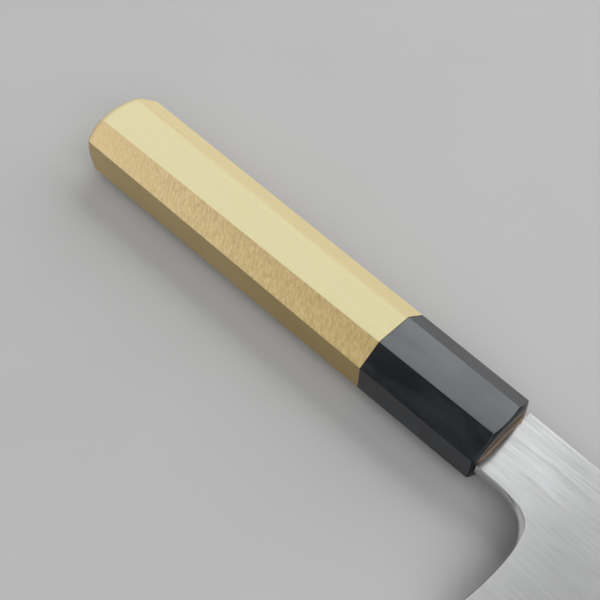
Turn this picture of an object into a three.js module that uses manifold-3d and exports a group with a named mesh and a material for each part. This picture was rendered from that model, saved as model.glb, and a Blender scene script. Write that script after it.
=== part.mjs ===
// Gyuto: a kitchen knife with a stick tang, an octagonal wooden handle and a horn ferrule. Millimetres.
// Every piece is drawn about the handle's axis: X runs to the tip with 0 at the ferrule's front, Y runs to
// the spine and Z to the right face. The knife is then laid on its left side, on the handle's lower flat.

import * as THREE from "three";
import { mergeVertices } from "three/addons/utils/BufferGeometryUtils.js";
import Module from "manifold-3d";

// Handle: an octagon that tapers evenly from the butt to the front
const handleLength = 138.4;
const frontWidth = 21.3;
const buttWidth = 23.5;
const frontThickness = 17.5;
const buttThickness = 18.6;
const frontChamferWidth = 5.95;
const buttChamferWidth = 5.5;
const frontChamferThickness = 5;
const buttChamferThickness = 4.3;

// Rounded ends: the front is flat round a point shifted towards the edge and falls off outside that; the butt
// is a dome as wide and thick as the handle, and its radius is the one through the thickness
const frontFlatRadius = 6;
const frontRounding = 12;
const frontShift = 1;
const buttDomeRadius = 12.3;

// Ferrule, the tenon inside it and the glue line between them
const ferruleLength = 33.7;
const tenonWidth = 18;
const tenonThickness = 13.6;
const bondThickness = 0.2;
const clearance = 0.05;

// Tang and the adhesive that beds it
const tangLength = 98;
const tangRootWidth = 13;
const tangEndWidth = 6;
const tangRootThickness = 2.6;
const tangEndThickness = 1.7;
const tangPointLength = 5;
const tangPointWidth = 2.6;
const beddingThickness = 0.5;

// Blade outline: depths are measured from the handle's axis towards the edge
const bladeLength = 210;
const neckLength = 16.4;
const spineHeight = 10.2;
const spineFall = 3.9;
const neckDepth = 9.65;
const heelDepth = 37.4;
const tipDepth = 15.6;
const tipDropPower = 7;
const edgeRisePower = 3.3;

// Choil: from the neck's underside round to the heel, which leans back towards the handle
const choilStart = 4.3;
const choilFall = 14.05;
const choilTopPull = 9.6;
const choilSidePull = 10.1;
const heelLean = 1.25;
const heelPull = 7.3;

// Blade thickness
const neckThickness = 3;
const tipThickness = 0.6;
const taperPower = 1.4;
const behindEdge = 0.36;
const bevelHeight = 0.8;
const grindPower = 1.15;
const grindRunout = 45;
const spineRounding = 0.9;
const tipBlunt = 0.7;

// Facets, and how far a cutting body runs past what it cuts
const turnSegments = 72;
const ovalSegments = 24;
const crownSteps = 7;
const bladeStations = 34;
const stationPower = 1.5;
const spineSteps = 2;
const faceSteps = 6;
const choilSegments = 12;
const weldDistance = 1e-5;
const cutMargin = 4;

const wasm = await Module();
wasm.setup();

const mix = (a, b, share) => a + (b - a) * share;
const unit = (value) => Math.min(Math.max(value, 0), 1);
const steps = (count, make) => Array.from({ length: count + 1 }, (_, k) => make(k / count));

// A solid from a closed geometry, and back
function solid(geometry) {
  geometry.deleteAttribute("normal");
  geometry.deleteAttribute("uv");
  const merged = mergeVertices(geometry, weldDistance);
  const corners = merged.index.array;
  const triVerts = [];
  for (let k = 0; k < corners.length; k += 3) {
    const [a, b, c] = corners.slice(k, k + 3);
    if (a !== b && b !== c && c !== a) triVerts.push(a, b, c);
  }
  const vertProperties = new Float32Array(merged.attributes.position.array);
  const mesh = new wasm.Mesh({ numProp: 3, vertProperties, triVerts: new Uint32Array(triVerts) });
  return new wasm.Manifold(mesh);
}

function geometryOf(body) {
  const { vertProperties, triVerts } = body.getMesh();
  const geometry = new THREE.BufferGeometry();
  geometry.setAttribute("position", new THREE.BufferAttribute(new Float32Array(vertProperties), 3));
  geometry.setIndex(new THREE.BufferAttribute(new Uint32Array(triVerts), 1));
  geometry.computeVertexNormals();
  return geometry;
}

// A closed skin over sections at rising X; a ring's [y, z] points run counter-clockwise seen from the tip
function loft(sections) {
  const count = sections[0].ring.length;
  const positions = sections.flatMap(({ x, ring }) => ring.flatMap(([y, z]) => [x, y, z]));
  const index = [];
  for (let s = 0; s + 1 < sections.length; s++) {
    for (let k = 0; k < count; k++) {
      const next = (k + 1) % count;
      const [a, b] = [s * count + k, s * count + next];
      index.push(a, b, b + count, a, b + count, a + count);
    }
  }
  const last = (sections.length - 1) * count;
  for (let k = 1; k + 1 < count; k++) {
    index.push(0, k + 1, k);
    index.push(last, last + k, last + k + 1);
  }
  const geometry = new THREE.BufferGeometry();
  geometry.setAttribute("position", new THREE.Float32BufferAttribute(positions, 3));
  geometry.setIndex(index);
  return solid(geometry);
}

// The tenon's oval bar along X, grown all round
function ovalBar(grow, fromX, toX) {
  const [radiusY, radiusZ] = [tenonWidth / 2 + grow, tenonThickness / 2 + grow];
  const shape = new THREE.Shape().absellipse(0, 0, radiusY, radiusZ, 0, 2 * Math.PI);
  const options = { depth: toX - fromX, bevelEnabled: false, curveSegments: ovalSegments };
  const alongX = new THREE.Matrix4().set(0, 0, 1, fromX, 1, 0, 0, 0, 0, 1, 0, 0, 0, 0, 0, 1);
  return solid(new THREE.ExtrudeGeometry(shape, options).applyMatrix4(alongX));
}

// A bar wider than the handle, from its crowned end at X = end along the handle: flat up to flatRadius, then
// falling off with the square of the radius
const halfDiagonal = Math.hypot(Math.max(frontWidth, buttWidth), Math.max(frontThickness, buttThickness)) / 2;
const reach = halfDiagonal + frontShift;

function crownedBar(end, direction, flatRadius, rounding) {
  const rim = steps(crownSteps, (share) => {
    const radius = mix(flatRadius, reach, share);
    return [radius, end + (direction * (radius - flatRadius) ** 2) / (2 * rounding)];
  });
  const far = end + direction * (handleLength + cutMargin);
  const profile = [[0, end], ...rim, [reach, far], [0, far]];
  if (direction < 0) profile.reverse();
  const points = profile.map(([radius, x]) => new THREE.Vector2(radius, x));
  return new THREE.LatheGeometry(points, turnSegments).rotateZ(-Math.PI / 2);
}

const frontBar = crownedBar(0, -1, frontFlatRadius, frontRounding);
const frontEnd = solid(frontBar.translate(0, -frontShift, 0));
const buttBar = crownedBar(-handleLength, 1, 0, buttDomeRadius);
const buttEnd = solid(buttBar.scale(1, buttWidth / buttThickness, 1));

// The handle's section at any X
function octagon(x) {
  const taper = (front, butt) => mix(front, butt, -x / handleLength);
  const y = taper(frontWidth, buttWidth) / 2;
  const z = taper(frontThickness, buttThickness) / 2;
  const yFlat = y - taper(frontChamferWidth, buttChamferWidth);
  const zFlat = z - taper(frontChamferThickness, buttChamferThickness);
  const upper = [[y, zFlat], [yFlat, z], [-yFlat, z], [-y, zFlat]];
  return { x, ring: [...upper, ...upper.map(([a, b]) => [-a, -b])] };
}

// The tang's solid, grown on every side, from its point to any X near its root
function tangBody(grow, rootX) {
  const section = (x, width) => {
    const thickness = mix(tangRootThickness, tangEndThickness, -x / tangLength);
    const [y, z] = [width / 2 + grow, thickness / 2 + grow];
    return { x, ring: [[y, -z], [y, z], [-y, z], [-y, -z]] };
  };
  const widthAt = (x) => mix(tangRootWidth, tangEndWidth, -x / tangLength);
  const pointX = tangPointLength - tangLength;
  return loft([
    section(-tangLength - grow, tangPointWidth),
    section(pointX, widthAt(pointX)),
    section(rootX, widthAt(rootX)),
  ]);
}

// Ferrule: an octagonal ring, bored for the tenon
function ferrule() {
  const outside = loft([octagon(-ferruleLength), octagon(0)]).intersect(frontEnd);
  const bore = ovalBar(bondThickness + 2 * clearance, -ferruleLength - cutMargin, cutMargin);
  return outside.subtract(bore);
}

// Glue line: a thin oval tube between the ferrule and the tenon
function ferruleBond() {
  const outside = ovalBar(clearance + bondThickness, -ferruleLength, cutMargin);
  const inside = ovalBar(clearance, -ferruleLength - cutMargin, 2 * cutMargin);
  return outside.subtract(inside).intersect(frontEnd);
}

// Handle body: the wood behind the ferrule with its tenon, and a pocket for the tang and its bedding
function handleBody() {
  const wood = loft([octagon(-handleLength), octagon(-ferruleLength - clearance)]).intersect(buttEnd);
  const tenon = ovalBar(0, -ferruleLength - cutMargin, cutMargin).intersect(frontEnd);
  const pocket = tangBody(beddingThickness + 2 * clearance, cutMargin);
  return wood.add(tenon).subtract(pocket);
}

// Tang bedding: a sleeve of adhesive, closed at the tang's point
function tangBedding() {
  return tangBody(beddingThickness + clearance, 0).subtract(tangBody(clearance, cutMargin));
}

// Blade: spine and edge lines, and half its thickness at any place
const tipX = neckLength + bladeLength;

function spineAt(x) {
  const share = x / tipX;
  const drop = spineHeight - spineFall + tipDepth;
  return spineHeight - spineFall * share - drop * share ** tipDropPower;
}

function edgeAt(x) {
  const share = unit((x - neckLength) / bladeLength);
  return mix(-heelDepth, -tipDepth, share ** edgeRisePower);
}

function halfThickness(x, y) {
  const spineHalf = mix(neckThickness, tipThickness, (x / tipX) ** taperPower) / 2;
  const grindTop = mix(-neckDepth, spineAt(x), unit(x / grindRunout));
  const depth = unit((grindTop - y) / (grindTop - edgeAt(x)));
  return mix(spineHalf, behindEdge / 2, depth ** grindPower);
}

function bladeSection(x) {
  const [spine, edge] = [spineAt(x), edgeAt(x)];
  const spineHalf = halfThickness(x, spine);
  const quarter = (spine - edge) / 4;
  const rounding = Math.min(spineRounding, spineHalf / 2, quarter);
  const bevel = Math.min(bevelHeight, quarter);
  const corner = steps(spineSteps, (share) => {
    const angle = (share * Math.PI) / 2;
    return [spine - rounding * (1 - Math.cos(angle)), spineHalf - rounding * (1 - Math.sin(angle))];
  });
  const face = steps(faceSteps, (share) => {
    const y = mix(spine - rounding, edge + bevel, share);
    return [y, halfThickness(x, y)];
  });
  const right = [...corner, ...face.slice(1)];
  const left = right.map(([y, z]) => [y, -z]).reverse();
  return { x, ring: [...right, [edge, 0], ...left] };
}

// Choil: what is cut away under the neck, in front of the ferrule and behind the heel
function choilCut() {
  const sideX = neckLength + heelLean;
  const sideY = -neckDepth - choilFall;
  const shape = new THREE.Shape();
  shape.moveTo(-cutMargin, -neckDepth);
  shape.lineTo(choilStart, -neckDepth);
  shape.bezierCurveTo(choilStart + choilTopPull, -neckDepth, sideX, sideY + choilSidePull, sideX, sideY);
  shape.quadraticCurveTo(sideX, sideY - heelPull, neckLength, -heelDepth);
  shape.lineTo(neckLength, -heelDepth - cutMargin);
  shape.lineTo(-cutMargin, -heelDepth - cutMargin);
  const options = { depth: 2 * neckThickness, bevelEnabled: false, curveSegments: choilSegments };
  return solid(new THREE.ExtrudeGeometry(shape, options).translate(0, 0, -neckThickness));
}

function blade() {
  const stations = steps(bladeStations, (share) => {
    return bladeSection(mix(clearance, tipX - tipBlunt, 1 - (1 - share) ** stationPower));
  });
  return loft(stations).subtract(choilCut()).add(tangBody(0, cutMargin));
}

// The assembly, turned by half the handle's taper and set on the middle of the lower flat
const steel = new THREE.MeshStandardMaterial({ color: 0xb9bfc1, roughness: 0.32, metalness: 1 });
const wood = new THREE.MeshStandardMaterial({ color: 0xdccb8c, roughness: 0.62, metalness: 0 });
const horn = new THREE.MeshStandardMaterial({ color: 0x17181a, roughness: 0.22, metalness: 0 });
const glue = new THREE.MeshStandardMaterial({ color: 0x8a7764, roughness: 0.45, metalness: 0 });
const resin = new THREE.MeshStandardMaterial({ color: 0x9c7a45, roughness: 0.4, metalness: 0 });

const knife = new THREE.Group();

function place(name, body, material) {
  const mesh = new THREE.Mesh(geometryOf(body), material);
  mesh.name = name;
  knife.add(mesh);
}

place("blade", blade(), steel);
place("handle_body", handleBody(), wood);
place("ferrule", ferrule(), horn);
place("ferrule_bond", ferruleBond(), glue);
place("tang_bedding", tangBedding(), resin);

const halfTaper = Math.atan((buttThickness - frontThickness) / 2 / handleLength);
const lowerFlat = new THREE.Vector3(-handleLength / 2, 0, -(frontThickness + buttThickness) / 4);
knife.rotation.y = halfTaper;
knife.position.copy(lowerFlat.applyEuler(knife.rotation).negate());

export default knife;
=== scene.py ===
# Gyuto: the finished look of a kitchen knife with an octagonal wooden handle and a horn ferrule.
# Sizes are millimetres in the knife's own frame, as its construction has them: X runs to the tip, with 0
# at the ferrule's front, Y to the spine and Z to the right face. LAY takes them into the scene, in metres.

import math

import bpy
import numpy as np
from mathutils import Matrix, Vector
from mathutils.geometry import delaunay_2d_cdt


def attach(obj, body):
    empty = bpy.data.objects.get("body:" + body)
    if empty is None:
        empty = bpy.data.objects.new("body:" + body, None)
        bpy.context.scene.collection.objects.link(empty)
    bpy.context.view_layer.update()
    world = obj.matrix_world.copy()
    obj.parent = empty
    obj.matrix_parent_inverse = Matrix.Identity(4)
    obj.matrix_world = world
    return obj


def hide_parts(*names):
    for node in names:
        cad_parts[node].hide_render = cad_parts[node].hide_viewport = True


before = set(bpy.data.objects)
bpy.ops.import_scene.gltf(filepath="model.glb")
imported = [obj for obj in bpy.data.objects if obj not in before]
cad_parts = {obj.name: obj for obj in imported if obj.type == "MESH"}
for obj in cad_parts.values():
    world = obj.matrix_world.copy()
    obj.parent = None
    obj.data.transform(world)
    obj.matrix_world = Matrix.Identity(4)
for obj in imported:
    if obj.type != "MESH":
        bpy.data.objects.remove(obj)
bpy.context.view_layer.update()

# Handle: an octagon that tapers evenly from the butt to the front
HANDLE_LENGTH = 138.4
FRONT_WIDTH = 21.3
BUTT_WIDTH = 23.5
FRONT_THICKNESS = 17.5
BUTT_THICKNESS = 18.6
FRONT_CHAMFER_WIDTH = 5.95
BUTT_CHAMFER_WIDTH = 5.5
FRONT_CHAMFER_THICKNESS = 5.0
BUTT_CHAMFER_THICKNESS = 4.3

# Rounded ends: the front is flat round a point shifted towards the edge, and the butt is an oval dome
FRONT_FLAT_RADIUS = 6.0
FRONT_ROUNDING = 12.0
FRONT_SHIFT = 1.0
BUTT_DOME_RADIUS = 12.3

# Ferrule, the tenon inside it and the glue line between them
FERRULE_LENGTH = 33.7
TENON_WIDTH = 18.0
TENON_THICKNESS = 13.6
BOND_THICKNESS = 0.2
CLEARANCE = 0.05

# Tang and the pocket for its bedding
TANG_LENGTH = 98.0
TANG_ROOT_WIDTH = 13.0
TANG_END_WIDTH = 6.0
TANG_ROOT_THICKNESS = 2.6
TANG_END_THICKNESS = 1.7
TANG_POINT_LENGTH = 5.0
TANG_POINT_WIDTH = 2.6
BEDDING_THICKNESS = 0.5

# Blade outline and thickness
BLADE_LENGTH = 210.0
NECK_LENGTH = 16.4
SPINE_HEIGHT = 10.2
SPINE_FALL = 3.9
NECK_DEPTH = 9.65
HEEL_DEPTH = 37.4
TIP_DEPTH = 15.6
TIP_DROP_POWER = 7
EDGE_RISE_POWER = 3.3
CHOIL_START = 4.3
CHOIL_FALL = 14.05
CHOIL_TOP_PULL = 9.6
CHOIL_SIDE_PULL = 10.1
HEEL_LEAN = 1.25
HEEL_PULL = 7.3
NECK_THICKNESS = 3.0
TIP_THICKNESS = 0.6
TAPER_POWER = 1.4
BEHIND_EDGE = 0.36
BEVEL_HEIGHT = 0.8
GRIND_POWER = 1.15
GRIND_RUNOUT = 45.0
TIP_BLUNT = 0.7
TIP_ROUNDING = 0.15

# Eased edges, which only the finished surface has
WOOD_EDGE = 0.4
LEAST_EDGE_SHARE = 0.1
HORN_EDGE = 0.25
BUTT_RIM = 1.7
FRONT_RIM = 0.2
JOINT_EDGE = 0.06

# The blade's rim: how far each rounding reaches in from it, the share of the thickness that stays upright
# below it, how much of a quarter round it turns through, and how far it is eased into the face, per width
SPINE_ROUNDING = 0.5
SPINE_WALL = 0.35
SPINE_TURN = 0.2
SPINE_EASE = 0.08
TANG_ROUNDING = 0.2
TANG_WALL = 0.85
CHOIL_ROUNDING = 1.2
CHOIL_END_ROUNDING = 0.25
CHOIL_ROUNDING_MIDDLE = 15.2
CHOIL_ROUNDING_SPREAD = 4.6
CHOIL_WALL = 0.25
CHOIL_TURN = 0.35
CHOIL_EASE = 0.08

# Fineness of the meshes; the blade's rings lie inside its rim, at shares of the rounding's width there
CORNER_STEPS = 5
FLAT_STEPS = 8
RIM_STEPS = 8
RIM_PASSES = 2
DOME_STEPS = 14
CROWN_STEPS = 6
MOUTH_STEPS = 4
ROOT_STEPS = 20
RIM_RINGS = (0.03, 0.1, 0.22, 0.42, 0.66, 0.8, 0.9, 0.97, 1.03, 1.1, 1.3, 1.6)
RINGS = {"edge": (0.5, 1.0, 1.5), "seat": (0.1, 0.4, 1.0, 1.6)}
SPINE_SPACING = 1.2
CHOIL_SPACING = 0.4
SEAT_SPACING = 0.08
TANG_SPACING = 3.0
FACE_SPACING = 2.4
SUPPORT_SHARE = 1.5
RING_TOLERANCE = 0.93
CURVE_SAMPLES = 400
CHOIL_SAMPLES = 120

# Tolerances: for dividing, merging points, a rim that comes to nothing, and finding seat and bevel again
TINY = 1e-9
MERGE_DISTANCE = 1e-5
THINNEST = 1e-6
SEAT_TOLERANCE = 1e-4
LINE_TOLERANCE = 0.01

# How squarely a face looks along an axis to count as a flat, a slope or an end, and how end grain sets in
FLAT_FACING = 0.9
SLOPE_FACING = 0.3
END_FACING = 0.5
END_BLEND = 0.4

# How far large faces outweigh small ones in smooth shading; 50 is even and 100 is the most
FACE_WEIGHT = 100

# Camera: where it stands and looks, how it is rolled, its lens and sensor, and its near limit in metres
EYE = (40.654, -111.135, 196.876)
AIM = (-59.098, -5.007, 0.0)
ROLL = 2.39
LENS = 60.0
SENSOR = 36.0
NEAREST_SEEN = 0.01

# Light: each lamp's direction from the knife, distance and size in metres, and power, in an even dim room
LAMP_AIM = (-30.0, 0.0, 0.0)
LAMPS = {
    "key": ((-0.235, 0.55, 0.8), 1.1, (0.48, 0.28), 1.22),
    "side_softbox": ((0.03, 0.83, 0.56), 1.0, (1.8, 1.0), 10.2),
    "front_softbox": ((0.6, -0.35, 0.72), 1.2, (1.3, 1.1), 10.4),
    "back_panel": ((-0.75, -0.3, 0.58), 0.45, (0.6, 0.6), 0.48),
}
ROOM_LIGHT = 0.22
FLOOR_SIZE = 6.0
FLOOR_DROP = 0.0001

MM = 0.001


def mix(a, b, share):
    return a + (b - a) * share


# The knife lies level on the middle of the handle's lower flat
HALF_TAPER = math.atan((BUTT_THICKNESS - FRONT_THICKNESS) / 2 / HANDLE_LENGTH)
TURN = Matrix.Rotation(HALF_TAPER, 4, "Y")
LOWER_FLAT = Vector((-HANDLE_LENGTH / 2, 0, -(FRONT_THICKNESS + BUTT_THICKNESS) / 4))
AXIS_HEIGHT = -(TURN @ LOWER_FLAT).z
LAY = Matrix.Scale(MM, 4) @ Matrix.Translation(-(TURN @ LOWER_FLAT)) @ TURN


def make_piece(name, vertices, faces, node, material):
    mesh = bpy.data.meshes.new(name)
    mesh.from_pydata([tuple(v) for v in vertices], [], faces)
    mesh.transform(LAY)
    mesh.polygons.foreach_set("use_smooth", [True] * len(mesh.polygons))
    mesh.materials.append(material)
    piece = bpy.data.objects.new(name, mesh)
    bpy.context.scene.collection.objects.link(piece)
    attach(piece, "root")
    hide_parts(node)
    return piece


def weight_normals(piece):
    modifier = piece.modifiers.new("weighted_normals", "WEIGHTED_NORMAL")
    modifier.weight = FACE_WEIGHT
    modifier.keep_sharp = True


def add_attribute(mesh, name, domain, values):
    attribute = mesh.attributes.new(name, "FLOAT", domain)
    attribute.data.foreach_set("value", np.asarray(values, np.float32))


# Rings of points round the handle, all with the same count, skinned one to the next


def octagon_corners(share):
    y = mix(FRONT_WIDTH, BUTT_WIDTH, share) / 2
    z = mix(FRONT_THICKNESS, BUTT_THICKNESS, share) / 2
    y_flat = y - mix(FRONT_CHAMFER_WIDTH, BUTT_CHAMFER_WIDTH, share)
    z_flat = z - mix(FRONT_CHAMFER_THICKNESS, BUTT_CHAMFER_THICKNESS, share)
    upper = [(y, z_flat), (y_flat, z), (-y_flat, z), (-y, z_flat)]
    return np.array(upper + [(-a, -b) for a, b in upper])


def move_sides_in(corners, distance):
    along = np.roll(corners, -1, axis=0) - corners
    along /= np.linalg.norm(along, axis=1)[:, None]
    outward = np.stack([along[:, 1], -along[:, 0]], 1)
    before = np.roll(outward, 1, axis=0)
    spread = 1 + np.sum(outward * before, axis=1)
    return corners - distance * (outward + before) / spread[:, None], before, outward


def eased_octagon(share, inset, edge):
    radius = max(edge - inset, edge * LEAST_EDGE_SHARE)
    centres, before, after = move_sides_in(octagon_corners(share), inset + radius)
    arcs = []
    for centre, start, end in zip(centres, before, after):
        angle = math.atan2(start[1], start[0])
        turn = (math.atan2(end[1], end[0]) - angle) % (2 * math.pi)
        angles = angle + turn * np.linspace(0, 1, CORNER_STEPS + 1)
        arcs.append(centre + radius * np.stack([np.cos(angles), np.sin(angles)], 1))
    points = []
    for arc, following in zip(arcs, arcs[1:] + arcs[:1]):
        inner = np.linspace(0, 1, FLAT_STEPS + 1)[1:-1, None]
        points += [arc, mix(arc[-1], following[0], inner)]
    return np.vstack(points)


def handle_ring(x, inset, edge):
    share = (-np.asarray(x, float) / HANDLE_LENGTH).reshape(-1, 1)
    section = mix(eased_octagon(0, inset, edge), eased_octagon(1, inset, edge), share)
    return np.column_stack([np.broadcast_to(-share[:, 0] * HANDLE_LENGTH, len(section)), section])


def ring_angles():
    section = eased_octagon(0, 0, WOOD_EDGE)
    return np.arctan2(section[:, 1] / FRONT_THICKNESS, section[:, 0] / FRONT_WIDTH)


def oval_ring(x, grow):
    angles = ring_angles()
    y = (TENON_WIDTH / 2 + grow) * np.cos(angles)
    z = (TENON_THICKNESS / 2 + grow) * np.sin(angles)
    return np.column_stack([np.full(len(angles), x), y, z])


def slot_ring(x, half_width, half_height):
    angles = ring_angles()
    across = np.stack([np.cos(angles), np.sin(angles)], 1)
    size = np.array([half_width, half_height])
    points = across * np.min(size / np.maximum(np.abs(across), TINY), axis=1)[:, None]
    for corner in ((1, 1), (-1, 1), (-1, -1), (1, -1)):
        nearest = np.argmin(np.linalg.norm(points - size * corner, axis=1))
        points[nearest] = size * corner
    return np.column_stack([np.full(len(angles), x), points])


def skin(rings, closed):
    count = len(rings[0])
    faces = []
    pairs = len(rings) if closed else len(rings) - 1
    for ring in range(pairs):
        here = ring * count
        there = (ring + 1) % len(rings) * count
        for k in range(count):
            following = (k + 1) % count
            faces.append((here + k, here + following, there + following, there + k))
    return np.vstack(rings), faces


def dome_x(section):
    stretch = BUTT_WIDTH / BUTT_THICKNESS
    return -HANDLE_LENGTH + ((section[:, 0] / stretch) ** 2 + section[:, 1] ** 2) / (2 * BUTT_DOME_RADIUS)


def crown_x(section):
    radius = np.hypot(section[:, 0] + FRONT_SHIFT, section[:, 1])
    return -np.maximum(radius - FRONT_FLAT_RADIUS, 0) ** 2 / (2 * FRONT_ROUNDING)


def on_crown(section):
    return np.column_stack([crown_x(section), section])


def end_rim(surface_x, start_x, rim, edge, direction):
    """Rings from the handle's sides onto a crowned end; direction is 1 at the front, -1 at the butt."""
    rings = []
    for angle in np.linspace(0, math.pi / 2, RIM_STEPS + 1):
        inset = rim * (1 - math.cos(angle))
        ring = handle_ring(start_x, inset, edge)
        for _ in range(RIM_PASSES):
            x = surface_x(ring[:, 1:]) - direction * rim * (1 - math.sin(angle))
            ring = handle_ring(x, inset, edge)
        rings.append(ring)
    return rings


def make_handle(material):
    rim = end_rim(dome_x, -HANDLE_LENGTH, BUTT_RIM, WOOD_EDGE, -1)
    dome = []
    for share in np.linspace(0, 1, DOME_STEPS + 1)[1:-1]:
        section = rim[-1][:, 1:] * share
        dome.append(np.column_stack([dome_x(section), section]))
    joint = -FERRULE_LENGTH - CLEARANCE
    front = [handle_ring(joint - JOINT_EDGE, 0, WOOD_EDGE), handle_ring(joint, JOINT_EDGE, WOOD_EDGE)]
    grow = BEDDING_THICKNESS + 2 * CLEARANCE
    point_x = TANG_POINT_LENGTH - TANG_LENGTH
    pocket = []
    for x, width in ((0, TANG_ROOT_WIDTH), (point_x, None), (-TANG_LENGTH - grow, TANG_POINT_WIDTH)):
        share = -x / TANG_LENGTH
        half_width = (width or mix(TANG_ROOT_WIDTH, TANG_END_WIDTH, share)) / 2 + grow
        half_height = mix(TANG_ROOT_THICKNESS, TANG_END_THICKNESS, share) / 2 + grow
        pocket.append(slot_ring(x, half_width, half_height))
    tenon = [oval_ring(joint, 0)]
    for share in np.linspace(0, 1, MOUTH_STEPS + 1):
        tenon.append(on_crown(mix(oval_ring(0, 0), pocket[0], share)[:, 1:]))
    rings = dome + rim[::-1] + front + tenon + pocket[1:]
    vertices, faces = skin(rings, closed=False)
    count = len(rings[0])
    pole = len(vertices)
    faces += [(pole, (k + 1) % count, k) for k in range(count)]
    floor = pole - count
    faces.append([floor + k for k in range(count)])
    vertices = np.vstack([vertices, [(-HANDLE_LENGTH, 0, 0)]])
    piece = make_piece("handle", vertices, faces, "handle_body", material)
    weight_normals(piece)
    mark_wood(piece.data)


def mark_wood(mesh):
    """Which faces are flats or sides, which chamfers show the silky figure, and which are end grain."""
    normals = np.array([polygon.normal for polygon in mesh.polygons])
    along, across, up = np.abs(normals).T
    at_front = np.array([polygon.center.x for polygon in mesh.polygons]) > 0
    slanted = (across > SLOPE_FACING) & (up > SLOPE_FACING) & (along < END_FACING)
    add_attribute(mesh, "flat", "FACE", up > FLAT_FACING)
    add_attribute(mesh, "side", "FACE", across > FLAT_FACING)
    add_attribute(mesh, "figured", "FACE", slanted & (normals[:, 1] * normals[:, 2] < 0))
    at_end = np.clip((along - END_FACING) / END_BLEND, 0, 1)
    add_attribute(mesh, "end_grain", "FACE", at_end * ~at_front)
    add_attribute(mesh, "tenon_end", "FACE", at_front & (along > END_FACING))


def make_ferrule(material):
    back_x = -FERRULE_LENGTH
    back = [handle_ring(back_x, JOINT_EDGE, HORN_EDGE), handle_ring(back_x + JOINT_EDGE, 0, HORN_EDGE)]
    rim = end_rim(crown_x, 0, FRONT_RIM, HORN_EDGE, 1)
    bore = BOND_THICKNESS + 2 * CLEARANCE
    mouth = oval_ring(0, bore)
    crown = []
    for share in np.linspace(0, 1, CROWN_STEPS + 1)[1:-1]:
        section = mix(rim[-1][:, 1:], mouth[:, 1:], share)
        crown.append(on_crown(section))
    rings = back + rim + crown + [on_crown(mouth[:, 1:]), oval_ring(back_x, bore)]
    vertices, faces = skin(rings, closed=True)
    piece = make_piece("horn_ferrule", vertices, faces, "ferrule", material)
    weight_normals(piece)
    looks_ahead = [polygon.normal.x > END_FACING for polygon in piece.data.polygons]
    add_attribute(piece.data, "front", "FACE", looks_ahead)


def make_bond(material):
    outer, inner = CLEARANCE + BOND_THICKNESS, CLEARANCE
    front = [on_crown(oval_ring(0, grow)[:, 1:]) for grow in (outer, inner)]
    rings = [oval_ring(-FERRULE_LENGTH, outer)] + front + [oval_ring(-FERRULE_LENGTH, inner)]
    vertices, faces = skin(rings, closed=True)
    piece = make_piece("glue_line", vertices, faces, "ferrule_bond", material)
    weight_normals(piece)


# Blade: its lines, its half thickness, and how its rim is rounded or bevelled
TIP_X = NECK_LENGTH + BLADE_LENGTH


def spine_at(x):
    share = np.maximum(x, 0) / TIP_X
    drop = SPINE_HEIGHT - SPINE_FALL + TIP_DEPTH
    return SPINE_HEIGHT - SPINE_FALL * share - drop * share**TIP_DROP_POWER


def edge_at(x):
    share = np.clip((x - NECK_LENGTH) / BLADE_LENGTH, 0, 1)
    return mix(-HEEL_DEPTH, -TIP_DEPTH, share**EDGE_RISE_POWER)


def half_thickness(x, y):
    along = np.clip(x / TIP_X, 0, 1)
    spine_half = mix(NECK_THICKNESS, TIP_THICKNESS, along**TAPER_POWER) / 2
    grind_top = mix(-NECK_DEPTH, spine_at(x), np.clip(x / GRIND_RUNOUT, 0, 1))
    depth = np.clip((grind_top - y) / (grind_top - edge_at(x)), 0, 1)
    face = mix(spine_half, BEHIND_EDGE / 2, depth**GRIND_POWER)
    tang = mix(TANG_ROOT_THICKNESS, TANG_END_THICKNESS, np.clip(-x / TANG_LENGTH, 0, 1)) / 2
    return np.where(x > 0, face, tang)


def spaced(points, spacing):
    """The same line with points at even steps."""
    lengths = np.concatenate([[0], np.cumsum(np.linalg.norm(np.diff(points, axis=0), axis=1))])
    count = max(int(round(lengths[-1] / spacing)), 1)
    stops = np.linspace(0, lengths[-1], count + 1)
    return np.stack([np.interp(stops, lengths, points[:, axis]) for axis in (0, 1)], 1)


def choil_line():
    side = np.array([NECK_LENGTH + HEEL_LEAN, -NECK_DEPTH - CHOIL_FALL])
    start = np.array([CHOIL_START, -NECK_DEPTH])
    heel = np.array([NECK_LENGTH, -HEEL_DEPTH])
    share = np.linspace(0, 1, CHOIL_SAMPLES)[:, None]
    left = 1 - share
    start_pull = start + [CHOIL_TOP_PULL, 0]
    side_pull = side + [0, CHOIL_SIDE_PULL]
    round_part = left**3 * start + 3 * left**2 * share * start_pull
    round_part += 3 * left * share**2 * side_pull + share**3 * side
    heel_part = left**2 * side + 2 * left * share * (side - [0, HEEL_PULL]) + share**2 * heel
    return np.vstack([[(CLEARANCE, -NECK_DEPTH)], round_part, heel_part[1:]])


def tang_line():
    point_x = TANG_POINT_LENGTH - TANG_LENGTH
    width = mix(TANG_ROOT_WIDTH, TANG_END_WIDTH, -point_x / TANG_LENGTH)
    upper = [(CLEARANCE, TANG_ROOT_WIDTH / 2), (point_x, width / 2), (-TANG_LENGTH, TANG_POINT_WIDTH / 2)]
    return np.array(upper + [(x, -y) for x, y in upper[::-1]])


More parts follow.
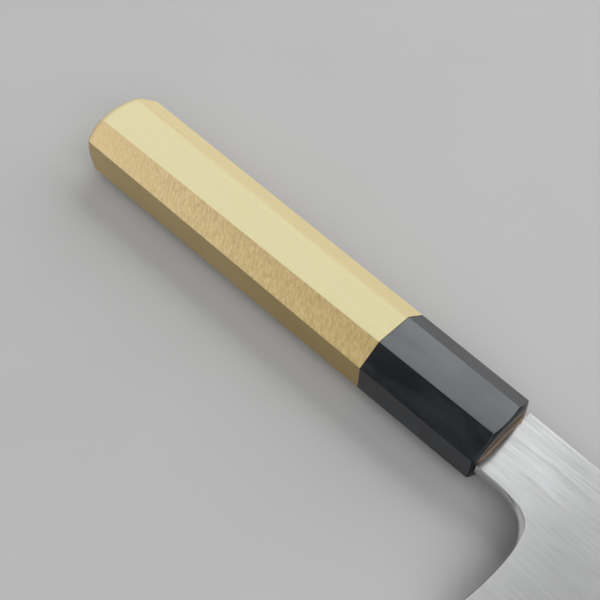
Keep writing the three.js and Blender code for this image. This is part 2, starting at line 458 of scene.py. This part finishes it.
class Stretch:
    """One stretch of the blade's rim: its points, its width at each, and how its rounding is shaped."""

    def __init__(self, kind, points, width, wall=0.0, turn=1.0, ease=0.0):
        self.kind = kind
        self.points = points
        self.width = np.broadcast_to(width, len(points)).astype(float)
        self.wall = wall
        self.turn = turn
        self.ease = ease

    def reach(self, places):
        """How far each place lies from the stretch, and the stretch's width there."""
        start, step = self.points[:-1], np.diff(self.points, axis=0)
        offset = places[:, None] - start
        along = np.clip(np.sum(offset * step, axis=2) / np.sum(step**2, axis=1), 0, 1)
        gaps = np.linalg.norm(offset - along[:, :, None] * step, axis=2)
        nearest = np.argmin(gaps, axis=1)
        row = np.arange(len(places))
        width = mix(self.width[:-1][nearest], self.width[1:][nearest], along[row, nearest])
        return gaps[row, nearest], width


def blade_stretches():
    end_x = TIP_X - TIP_BLUNT
    x = np.linspace(end_x, CLEARANCE, CURVE_SAMPLES)
    spine = spaced(np.stack([x, spine_at(x)], 1), SPINE_SPACING)
    spine_half = half_thickness(spine[:, 0], spine[:, 1])
    spine_width = np.minimum(SPINE_ROUNDING, (1 - SPINE_WALL) * spine_half)
    tang = spaced_line(tang_line(), TANG_SPACING)
    choil = spaced_line(choil_line(), CHOIL_SPACING)
    run = np.concatenate([[0], np.cumsum(np.linalg.norm(np.diff(choil, axis=0), axis=1))])
    swell = np.exp(-(((run - CHOIL_ROUNDING_MIDDLE) / CHOIL_ROUNDING_SPREAD) ** 2))
    choil_width = mix(CHOIL_END_ROUNDING, CHOIL_ROUNDING, swell)
    x = np.linspace(NECK_LENGTH, end_x, CURVE_SAMPLES)
    edge = spaced(np.stack([x, edge_at(x)], 1), SPINE_SPACING)
    upper_seat = spaced(np.array([spine[-1], tang[0]]), SEAT_SPACING)
    lower_seat = spaced(np.array([tang[-1], choil[0]]), SEAT_SPACING)
    return [
        Stretch("spine", spine, spine_width, SPINE_WALL, SPINE_TURN, SPINE_EASE),
        Stretch("seat", upper_seat, CHOIL_END_ROUNDING, 1.0),
        Stretch("tang", tang, TANG_ROUNDING, TANG_WALL),
        Stretch("seat", lower_seat, CHOIL_END_ROUNDING, 1.0),
        Stretch("choil", choil, choil_width, CHOIL_WALL, CHOIL_TURN, CHOIL_EASE),
        Stretch("edge", edge, BEVEL_HEIGHT),
        Stretch("tip", np.array([edge[-1], spine[0]]), TIP_ROUNDING),
    ]


def spaced_line(corners, spacing):
    """A line through its corners, which all stay, with even steps between them."""
    parts = [spaced(corners[k : k + 2], spacing)[:-1] for k in range(len(corners) - 1)]
    return np.vstack(parts + [corners[-1:]])


def inside(places, outline):
    x, y = places[:, 0], places[:, 1]
    found = np.zeros(len(places), bool)
    for (x0, y0), (x1, y1) in zip(outline, np.roll(outline, -1, axis=0)):
        if y0 != y1:
            crosses = (y0 > y) != (y1 > y)
            found ^= crosses & (x < x0 + (x1 - x0) * (y - y0) / (y1 - y0))
    return found


def quarter_round(share):
    """The height of a quarter round, with 1 for its radius."""
    return np.sqrt(np.clip(1 - (1 - share) ** 2, 0, 1))


def smooth_min(a, b, blend):
    overlap = np.maximum(blend - np.abs(a - b), 0) / blend
    return np.minimum(a, b) - overlap**2 * blend / 4


def blade_height(places, stretches):
    """Half the finished thickness at each place, with the rim's roundings and the edge's bevel."""
    full = half_thickness(places[:, 0], places[:, 1])
    height = full.copy()
    for stretch in stretches:
        distance, width = stretch.reach(places)
        share = distance / width
        if stretch.kind == "edge":
            cap = np.where(share < 1, share * BEHIND_EDGE / 2, full)
        else:
            rise = quarter_round(np.minimum(stretch.turn * share, 1)) / quarter_round(stretch.turn)
            cap = full * mix(stretch.wall, 1, rise)
            if stretch.ease:
                cap = smooth_min(cap, full, np.minimum(stretch.ease * width, full / 2))
        beside = places[:, 0] < CLEARANCE if stretch.kind == "tang" else places[:, 0] >= CLEARANCE
        height = np.where(beside, np.minimum(height, cap), height)
    return height


def blade_places(stretches):
    """The rim's own points, then rings of points inside it, then an even field on the face."""
    outline = np.vstack([stretch.points[:-1] for stretch in stretches])
    rings = []
    for stretch in stretches:
        along = np.gradient(stretch.points, axis=0)
        along /= np.linalg.norm(along, axis=1)[:, None]
        inward = np.stack([-along[:, 1], along[:, 0]], 1)
        for share in RINGS.get(stretch.kind, RIM_RINGS):
            inset = share * stretch.width
            places = stretch.points + inward * inset[:, None]
            rivals = [other for other in stretches if other is stretch or other.kind != "seat"]
            nearest = np.min([other.reach(places)[0] for other in rivals], axis=0)
            rings.append(places[(nearest > RING_TOLERANCE * inset) & inside(places, outline)])
    low, high = outline.min(0), outline.max(0)
    x = np.arange(CLEARANCE + FACE_SPACING, high[0], FACE_SPACING)
    y = np.arange(low[1], high[1], FACE_SPACING)
    field = np.stack(np.meshgrid(x, y), 2).reshape(-1, 2)
    field = field[inside(field, outline)]
    margin = np.full(len(field), True)
    for stretch in stretches:
        distance, width = stretch.reach(field)
        margin &= distance > width * SUPPORT_SHARE + FACE_SPACING / 2
    root = np.linspace(-TANG_ROOT_WIDTH, TANG_ROOT_WIDTH, ROOT_STEPS + 1)[1:-1] / 2
    step = [np.stack([np.full(len(root), x), root], 1) for x in (0, CLEARANCE)]
    return outline, np.vstack([outline] + rings + step + [field[margin]])


def make_blade(material):
    stretches = blade_stretches()
    outline, places = blade_places(stretches)
    rim = [(k, (k + 1) % len(outline)) for k in range(len(outline))]
    flat, _, triangles, *_ = delaunay_2d_cdt([Vector(p) for p in places], rim, [], 1, MERGE_DISTANCE)
    flat = np.array([tuple(p) for p in flat])
    corners = flat[np.array(triangles)]
    one, two = corners[:, 1] - corners[:, 0], corners[:, 2] - corners[:, 0]
    flip = one[:, 0] * two[:, 1] - one[:, 1] * two[:, 0] < 0
    triangles = [t[::-1] if turned else t for t, turned in zip(triangles, flip)]
    height = blade_height(flat, stretches)
    thick = height > THINNEST
    under = np.arange(len(flat))
    under[thick] = len(flat) + np.arange(np.sum(thick))
    vertices = np.vstack([np.column_stack([flat, height]), np.column_stack([flat, -height])[thick]])
    faces = [tuple(t) for t in triangles]
    faces += [tuple(int(under[k]) for k in t[::-1]) for t in triangles]
    ring = [int(np.argmin(np.sum((flat - place) ** 2, axis=1))) for place in outline]
    for here, there in zip(ring, ring[1:] + ring[:1]):
        wall = [int(under[here]), int(under[there]), there, here]
        corners = list(dict.fromkeys(wall))
        if len(corners) > 2:
            faces.append(corners)
    piece = make_piece("blade_steel", vertices, faces, "blade", material)
    mark_blade(piece.data, vertices, stretches)
    weight_normals(piece)


def mark_blade(mesh, vertices, stretches):
    """The polished rims as an attribute, sharp lines at bevel and seat, and the brushing's direction."""
    polish = np.zeros(len(vertices))
    for stretch in stretches:
        distance, width = stretch.reach(vertices[:, :2])
        share = distance / width
        if stretch.kind == "edge":
            bevel_lines = np.minimum(share, np.abs(share - 1)) < LINE_TOLERANCE
        elif stretch.kind in ("spine", "choil"):
            polish = np.maximum(polish, share < 1 + LINE_TOLERANCE)
    add_attribute(mesh, "polish", "POINT", polish)
    at_seat = np.abs(vertices[:, 0] - CLEARANCE) < SEAT_TOLERANCE
    for edge in mesh.edges:
        ends = list(edge.vertices)
        edge.use_edge_sharp = bool(np.all(bevel_lines[ends]) or np.all(at_seat[ends]))
    layer = mesh.uv_layers.new(name="brushing")
    loops = np.zeros(len(mesh.loops), np.int32)
    mesh.loops.foreach_get("vertex_index", loops)
    across_then_along = vertices[loops][:, [1, 0]] / BLADE_LENGTH
    layer.data.foreach_set("uv", across_then_along.astype(np.float32).ravel())


class Graph:
    """A material's nodes. An input is a value or another node's output; frequencies are per millimetre."""

    def __init__(self, name):
        self.material = bpy.data.materials.new(name)
        self.material.use_nodes = True
        self.tree = self.material.node_tree
        self.shader = self.tree.nodes["Principled BSDF"]

    def feed(self, node, inputs):
        for key, value in inputs.items():
            if isinstance(value, bpy.types.NodeSocket):
                self.tree.links.new(value, node.inputs[key])
            else:
                node.inputs[key].default_value = value

    def add(self, kind, inputs=None, **settings):
        node = self.tree.nodes.new("ShaderNode" + kind)
        for key, value in settings.items():
            setattr(node, key, value)
        self.feed(node, inputs or {})
        return node

    def noise(self, per_mm, detail=3.0, roughness=0.5, distortion=0.0, lean=(1.0, 0.0, 0.0)):
        axes = {"X": self.along(lean), "Y": self.along((0, 1, 0)), "Z": self.along((0, 0, 1))}
        place = self.add("CombineXYZ", axes).outputs[0]
        scale = [value / MM for value in per_mm]
        place = self.add("Mapping", {"Vector": place, "Scale": scale}).outputs["Vector"]
        inputs = {"Vector": place, "Scale": 1.0, "Detail": detail}
        inputs |= {"Roughness": roughness, "Distortion": distortion}
        return self.add("TexNoise", inputs).outputs[0]

    def remap(self, value, low, high, to_low=0.0, to_high=1.0):
        inputs = {"Value": value, "From Min": low, "From Max": high, "To Min": to_low, "To Max": to_high}
        return self.add("MapRange", inputs).outputs[0]

    def math(self, operation, a, b):
        return self.add("Math", {0: a, 1: b}, operation=operation).outputs[0]

    def colour_mix(self, share, a, b, blend="MIX"):
        return self.add("Mix", {0: share, 6: a, 7: b}, data_type="RGBA", blend_type=blend).outputs[2]

    def attribute(self, name):
        return self.add("Attribute", attribute_name=name).outputs["Fac"]

    def along(self, direction):
        """How far each place lies along a direction."""
        place = self.add("TexCoord").outputs["Object"]
        return self.add("VectorMath", {0: place, 1: direction}, operation="DOT_PRODUCT").outputs["Value"]

    def distance(self, direction, place_mm):
        """How far each place lies, along a direction, from a point on it."""
        beyond = self.math("SUBTRACT", self.along(direction), place_mm * MM)
        return self.math("ABSOLUTE", beyond, 0)

    def bump(self, height, strength, distance_mm):
        inputs = {"Height": height, "Strength": strength, "Distance": distance_mm * MM}
        return self.add("Bump", inputs).outputs["Normal"]

    def finish(self, **inputs):
        self.feed(self.shader, {key.replace("_", " "): value for key, value in inputs.items()})
        return self.material


def colour(red, green, blue):
    return (red, green, blue, 1.0)


# Where most of a noise's values lie
NOISE_SPAN = (0.3, 0.7)

# Wood: its colours and where they change
WOOD_PALE = colour(0.69, 0.632, 0.378)
WOOD_LINE = colour(0.66, 0.597, 0.348)
WOOD_PEACH = colour(0.62, 0.525, 0.282)
WOOD_BAND = colour(0.61, 0.465, 0.23)
# The side faces are the same wood as the chamfers. Their darker colour is painted shade, and the warm
# drift between these two is the wood's own tone.
WOOD_SHADED_SIDE = colour(0.475, 0.366, 0.178)
WOOD_SHADED_SIDE_WARM = colour(0.437, 0.327, 0.155)
WOOD_SILK = colour(0.82, 0.63, 0.33)
WOOD_SILK_LIGHT = colour(0.95, 0.755, 0.42)
WOOD_SILK_DARK = colour(0.65, 0.485, 0.242)
WOOD_PORE = colour(0.40, 0.32, 0.17)
WOOD_END = colour(0.62, 0.55, 0.31)
# Painted shade: the colour multiplied in as the handle darkens towards the ferrule
WOOD_FRONT_SHADE = colour(0.68, 0.655, 0.54)
# The tenon's end grain is dark. Its near-black brown away from the tang is that colour deepened by painted
# shade in the ferrule's mouth, and the tan next to the tang is the end grain's own colour.
TENON_SHADED_BROWN = colour(0.05, 0.024, 0.01)
TENON_TAN = colour(0.19, 0.12, 0.085)
TENON_TAN_HEIGHT = 2.6
TENON_SHADED_BROWN_HEIGHT = 3.6
BAND_CENTRE = 5.6
BAND_LEAN = 0.0095
BAND_WIDTH = 1.3
FLECK_LEAN = (1.0, 0.38, 0.32)
CHAMFER_UP = (0, 0.75, 0.65)
CHAMFER_LOW = 0.5
CHAMFER_HIGH = 7.2
BUTT_END = -HANDLE_LENGTH / 2 * MM
WOOD_FRONT = (HANDLE_LENGTH / 2 - FERRULE_LENGTH) * MM

# Wood: its noises' frequencies along and across, which of their values show, and how strongly
WOOD_GRAIN = (0.012, 1.4, 0.3)
WOOD_DRIFT = (0.03, 0.12, 0.12)
WOOD_PORES = (0.3, 6.5, 6.5)
WOOD_FLECKS = (1.9, 0.6, 0.6)
WOOD_FINE_FLECKS = (3.6, 1.6, 1.6)
PORE_SPAN = (0.64, 0.74)
FLECK_SPAN = (0.39, 0.61)
SIDE_DRIFT_SPAN = (0.35, 0.65)
PALE_DRIFT_SPAN = (0.35, 0.7)
FLECK_SHARE = 0.5
FINE_FLECK_SHARE = 0.3
CHAMFER_SHARE = 0.2
FLECKS_START = 0.05
FLECKS_FULL = 0.4
FLECKS_AT_BUTT = 0.3
PEACH_GRAIN = 0.4
PALE_DRIFT = 0.4
BAND_STRENGTH = 0.9
PORE_STRENGTH = 0.18
# How much of the painted shade towards the ferrule reaches the top flat
PALE_FRONT_SHADE = 0.25
GRAIN_RELIEF = 0.5
WOOD_ROUGHNESS = (0.5, 0.6)
WOOD_SPECULAR = 0.35
WOOD_BUMP = (0.2, 0.02)


def silky_figure(g, forward):
    """Flecks across the chamfer, darker towards its upper edge and calmer at the butt."""
    flecks = g.noise(WOOD_FLECKS, detail=2, distortion=0.3, lean=FLECK_LEAN)
    fine = g.noise(WOOD_FINE_FLECKS, detail=2, lean=FLECK_LEAN)
    dark = g.remap(flecks, *FLECK_SPAN, 0, FLECK_SHARE)
    dark = g.math("ADD", dark, g.remap(fine, *FLECK_SPAN, 0, FINE_FLECK_SHARE))
    upward = g.remap(g.along(CHAMFER_UP), CHAMFER_LOW * MM, CHAMFER_HIGH * MM, 0, CHAMFER_SHARE)
    figure = g.colour_mix(g.math("ADD", dark, upward), WOOD_SILK_LIGHT, WOOD_SILK_DARK)
    strength = g.remap(forward, FLECKS_START, FLECKS_FULL, FLECKS_AT_BUTT, 1)
    return g.colour_mix(strength, WOOD_SILK, figure)


def wood_material():
    g = Graph("pale_magnolia")
    grain = g.noise(WOOD_GRAIN, detail=4)
    drift = g.noise(WOOD_DRIFT, detail=3)
    pores = g.remap(g.noise(WOOD_PORES, detail=1), *PORE_SPAN)
    forward = g.remap(g.along((1, 0, 0)), BUTT_END, WOOD_FRONT)
    on_side, figured = g.attribute("side"), g.attribute("figured")
    tan = g.colour_mix(g.remap(grain, *NOISE_SPAN, 0, PEACH_GRAIN), WOOD_PEACH, WOOD_BAND)
    # Painted shade: the side faces get a darker copy of the chamfers' tan, drifting into a warmer tone of
    # the wood.
    side = g.colour_mix(g.remap(drift, *SIDE_DRIFT_SPAN), WOOD_SHADED_SIDE, WOOD_SHADED_SIDE_WARM)
    tan = g.colour_mix(on_side, tan, side)
    tan = g.colour_mix(figured, tan, silky_figure(g, forward))
    pale = g.colour_mix(g.remap(grain, *NOISE_SPAN), WOOD_PALE, WOOD_LINE)
    from_band = g.distance((BAND_LEAN, 1, 0), BAND_CENTRE)
    pale = g.colour_mix(g.remap(from_band, 0, BAND_WIDTH * MM, BAND_STRENGTH, 0), pale, WOOD_BAND)
    pale = g.colour_mix(g.remap(drift, *PALE_DRIFT_SPAN, 0, PALE_DRIFT), pale, WOOD_LINE)
    base = g.colour_mix(g.attribute("flat"), tan, pale)
    base = g.colour_mix(g.remap(pores, 0, 1, 0, PORE_STRENGTH), base, WOOD_PORE)
    # Painted shade: the wood darkens from the butt towards the ferrule, fully on the sides and figured
    # chamfers and a quarter as much on the top flat
    coloured = g.math("MAXIMUM", on_side, figured)
    front_shade = g.math("MULTIPLY", forward, g.remap(coloured, 0, 1, PALE_FRONT_SHADE, 1))
    base = g.colour_mix(front_shade, base, WOOD_FRONT_SHADE, blend="MULTIPLY")
    end = g.colour_mix(g.remap(grain, *NOISE_SPAN), WOOD_END, WOOD_BAND)
    base = g.colour_mix(g.attribute("end_grain"), base, end)
    # Painted shade: the tenon's end darkens from tan next to the tang to near-black brown further from it
    from_tang = g.distance((0, 0, 1), AXIS_HEIGHT)
    mouth_shade = g.remap(from_tang, TENON_TAN_HEIGHT * MM, TENON_SHADED_BROWN_HEIGHT * MM)
    tenon = g.colour_mix(mouth_shade, TENON_TAN, TENON_SHADED_BROWN)
    base = g.colour_mix(g.attribute("tenon_end"), base, tenon)
    relief = g.math("SUBTRACT", g.remap(grain, *NOISE_SPAN, 0, GRAIN_RELIEF), pores)
    return g.finish(
        Base_Color=base,
        Roughness=g.remap(grain, *NOISE_SPAN, *WOOD_ROUGHNESS),
        Specular_IOR_Level=WOOD_SPECULAR,
        Normal=g.bump(relief, *WOOD_BUMP),
    )


# Horn: polished on its sides, dull on the front that the blade leaves through
HORN_DARK = colour(0.005, 0.0055, 0.007)
HORN_CLOUD = colour(0.022, 0.024, 0.028)
HORN_SHEEN = colour(0.93, 0.97, 1.0)
HORN_CLOUDS = (0.06, 0.16, 0.16)
HORN_FIBRES = (0.05, 2.2, 2.2)
HORN_CLOUD_SPAN = (0.4, 0.75)
HORN_ROUGHNESS = (0.1, 0.24)
HORN_SPECULAR = 0.58
HORN_FRONT_SPECULAR = 0.03
FIBRE_RELIEF = 0.1
HORN_BUMP = (0.05, 0.05)


def horn_material():
    g = Graph("black_horn")
    clouds = g.noise(HORN_CLOUDS, detail=3, distortion=0.6)
    fibres = g.noise(HORN_FIBRES, detail=3)
    relief = g.math("ADD", clouds, g.remap(fibres, 0, 1, 0, FIBRE_RELIEF))
    return g.finish(
        Base_Color=g.colour_mix(g.remap(clouds, *HORN_CLOUD_SPAN), HORN_DARK, HORN_CLOUD),
        Roughness=g.remap(clouds, *NOISE_SPAN, *HORN_ROUGHNESS),
        Specular_IOR_Level=g.remap(g.attribute("front"), 0, 1, HORN_SPECULAR, HORN_FRONT_SPECULAR),
        Specular_Tint=HORN_SHEEN,
        Normal=g.bump(relief, *HORN_BUMP),
    )


# Steel: satin faces with hairlines along the blade, and polished spine and choil
STEEL_LIGHT = colour(0.56, 0.565, 0.57)
STEEL_DARK = colour(0.46, 0.465, 0.47)
POLISHED = 0.28
STEEL_HAIRLINES = (0.09, 3.0, 3.0)
STEEL_CLOUDS = (0.04, 0.1, 0.1)
STEEL_SPAN = (0.25, 0.75)
SATIN_ROUGHNESS = (0.31, 0.39)
SATIN_CLOUDING = (-0.02, 0.02)
STEEL_BUMP = (0.1, 0.015)


def steel_material():
    g = Graph("satin_steel")
    hairlines = g.noise(STEEL_HAIRLINES, detail=3, roughness=0.65)
    clouds = g.noise(STEEL_CLOUDS, detail=2)
    polish = g.attribute("polish")
    satin = g.remap(hairlines, *NOISE_SPAN, *SATIN_ROUGHNESS)
    satin = g.math("ADD", satin, g.remap(clouds, *NOISE_SPAN, *SATIN_CLOUDING))
    return g.finish(
        Base_Color=g.colour_mix(g.remap(hairlines, *STEEL_SPAN), STEEL_LIGHT, STEEL_DARK),
        Metallic=1.0,
        Roughness=g.add("Mix", {0: polish, 2: satin, 3: POLISHED}).outputs[0],
        Anisotropic=g.remap(polish, 0, 1, 1, 0),
        Tangent=g.add("Tangent", direction_type="UV_MAP", uv_map="brushing").outputs["Tangent"],
        Normal=g.bump(hairlines, *STEEL_BUMP),
    )


# Glue and adhesive: lumpy, with a low gloss
GLUE_LIGHT = colour(0.34, 0.29, 0.22)
GLUE_DARK = colour(0.22, 0.17, 0.12)
GLUE_LUMPS = (0.8, 0.8, 0.8)
GLUE_ROUGHNESS = (0.35, 0.55)
RESIN_LIGHT = colour(0.46, 0.29, 0.12)
RESIN_DARK = colour(0.34, 0.2, 0.08)
RESIN_LUMPS = (0.5, 0.5, 0.5)
RESIN_ROUGHNESS = (0.3, 0.5)
LUMP_BUMP = (0.3, 0.1)


def lumpy_material(name, per_mm, light, dark, roughness):
    g = Graph(name)
    lumps = g.noise(per_mm, detail=3)
    return g.finish(
        Base_Color=g.colour_mix(lumps, light, dark),
        Roughness=g.remap(lumps, *NOISE_SPAN, *roughness),
        Normal=g.bump(lumps, *LUMP_BUMP),
    )


def glue_material():
    return lumpy_material("set_glue", GLUE_LUMPS, GLUE_LIGHT, GLUE_DARK, GLUE_ROUGHNESS)


def resin_material():
    return lumpy_material("amber_adhesive", RESIN_LUMPS, RESIN_LIGHT, RESIN_DARK, RESIN_ROUGHNESS)


# Floor: pale, matt, with a faint change of tone
FLOOR_DARK = colour(0.42, 0.42, 0.42)
FLOOR_LIGHT = colour(0.45, 0.45, 0.45)
FLOOR_TONE = (0.02, 0.02, 0.02)
FLOOR_ROUGHNESS = 0.9
FLOOR_SPECULAR = 0.2


def floor_material():
    g = Graph("pale_floor")
    tone = g.noise(FLOOR_TONE, detail=4)
    return g.finish(
        Base_Color=g.colour_mix(tone, FLOOR_DARK, FLOOR_LIGHT),
        Roughness=FLOOR_ROUGHNESS,
        Specular_IOR_Level=FLOOR_SPECULAR,
    )


make_handle(wood_material())
make_ferrule(horn_material())
make_bond(glue_material())
make_blade(steel_material())
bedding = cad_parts["tang_bedding"]
bedding.data.materials.clear()
bedding.data.materials.append(resin_material())


# Stage: a pale floor, the lamps, an even room and the camera
def make_floor():
    half = FLOOR_SIZE / 2
    corners = [(-half, -half), (half, -half), (half, half), (-half, half)]
    mesh = bpy.data.meshes.new("floor")
    mesh.from_pydata([(x, y, -FLOOR_DROP) for x, y in corners], [], [(0, 1, 2, 3)])
    mesh.materials.append(floor_material())
    floor = bpy.data.objects.new("floor", mesh)
    bpy.context.scene.collection.objects.link(floor)


def facing(place, aim, roll):
    """A placement at a point, looking at another along its own -Z, level and then rolled."""
    eye, target = LAY @ Vector(place), LAY @ Vector(aim)
    turn = (target - eye).to_track_quat("-Z", "Y").to_matrix().to_4x4()
    return Matrix.Translation(eye) @ turn @ Matrix.Rotation(math.radians(roll), 4, "Z")


def make_lamp(name, direction, distance, size, power):
    lamp = bpy.data.lights.new(name, "AREA")
    lamp.shape = "RECTANGLE"
    lamp.size, lamp.size_y = size
    lamp.energy = power
    aim = Vector(LAMP_AIM)
    softbox = bpy.data.objects.new(name, lamp)
    softbox.matrix_world = facing(aim + Vector(direction).normalized() * distance / MM, aim, 0)
    bpy.context.scene.collection.objects.link(softbox)


def make_room():
    world = bpy.data.worlds.new("room")
    world.use_nodes = True
    background = world.node_tree.nodes["Background"]
    background.inputs["Color"].default_value = colour(ROOM_LIGHT, ROOM_LIGHT, ROOM_LIGHT)
    bpy.context.scene.world = world


def make_camera():
    lens = bpy.data.cameras.new("camera")
    lens.lens = LENS
    lens.sensor_width = SENSOR
    lens.clip_start = NEAREST_SEEN
    camera = bpy.data.objects.new("camera", lens)
    camera.matrix_world = facing(EYE, AIM, ROLL)
    bpy.context.scene.collection.objects.link(camera)
    bpy.context.scene.camera = camera


make_floor()
for name, settings in LAMPS.items():
    make_lamp(name, *settings)
make_room()
make_camera()
bpy.context.scene.view_settings.view_transform = "Standard"
